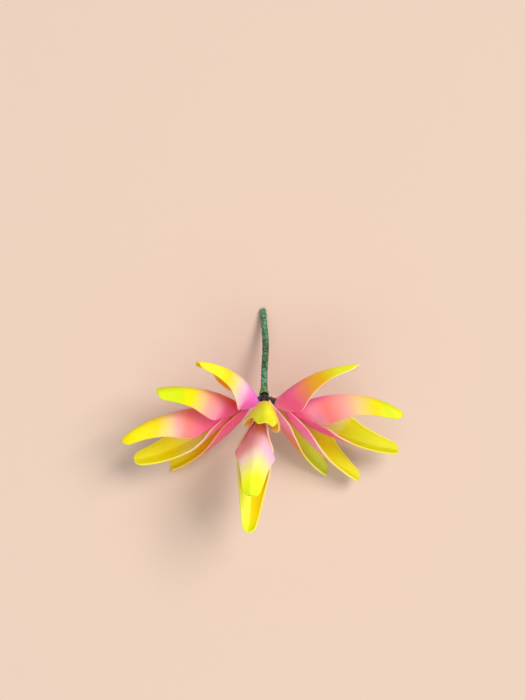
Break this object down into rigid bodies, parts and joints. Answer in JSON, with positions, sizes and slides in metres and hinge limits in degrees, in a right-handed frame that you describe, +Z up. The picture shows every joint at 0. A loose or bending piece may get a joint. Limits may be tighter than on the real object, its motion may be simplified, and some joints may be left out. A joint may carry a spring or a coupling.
{
  "type": "heliconia flower",
  "caption": "Heliconia flower pick of folded foam bracts in alternating ranks on forked, tape-wrapped wire heads, lying on a surface.",
  "frame": {"origin": "on the surface that the flower lies on, under the middle of its box", "axes": "+Z up from the surface, +Y along the stem from the fork towards its cut end, +X across to the right head, seen from above with the stem at the top"},
  "size_m": [0.2394, 0.1891, 0.1571],
  "materials": {
    "foam": "soft foam sheet, airbrushed from pink over orange to yellow, slight sheen",
    "green_tape": "waxed paper tape, wound in a slant, matte",
    "dark_tape": "dark green-black tape, slight sheen",
    "wire": "plain drawn wire"
  },
  "bodies": {
    "root": {"left_bract_1": "foam", "left_bract_2": "foam", "left_bract_3": "foam", "left_bract_4": "foam", "left_bract_5": "foam", "centre_bract_1": "foam", "centre_bract_2": "foam", "centre_bract_3": "foam", "centre_bract_4": "foam", "right_bract_1": "foam", "right_bract_2": "foam", "right_bract_3": "foam", "right_bract_4": "foam", "right_bract_5": "foam", "left_rachis_tape": "dark_tape", "centre_rachis_tape": "dark_tape", "right_rachis_tape": "dark_tape", "fork_tape": "dark_tape", "stem_tape": "green_tape", "left_wire": "wire", "centre_wire": "wire", "right_wire": "wire"}
  },
  "joints": []
}
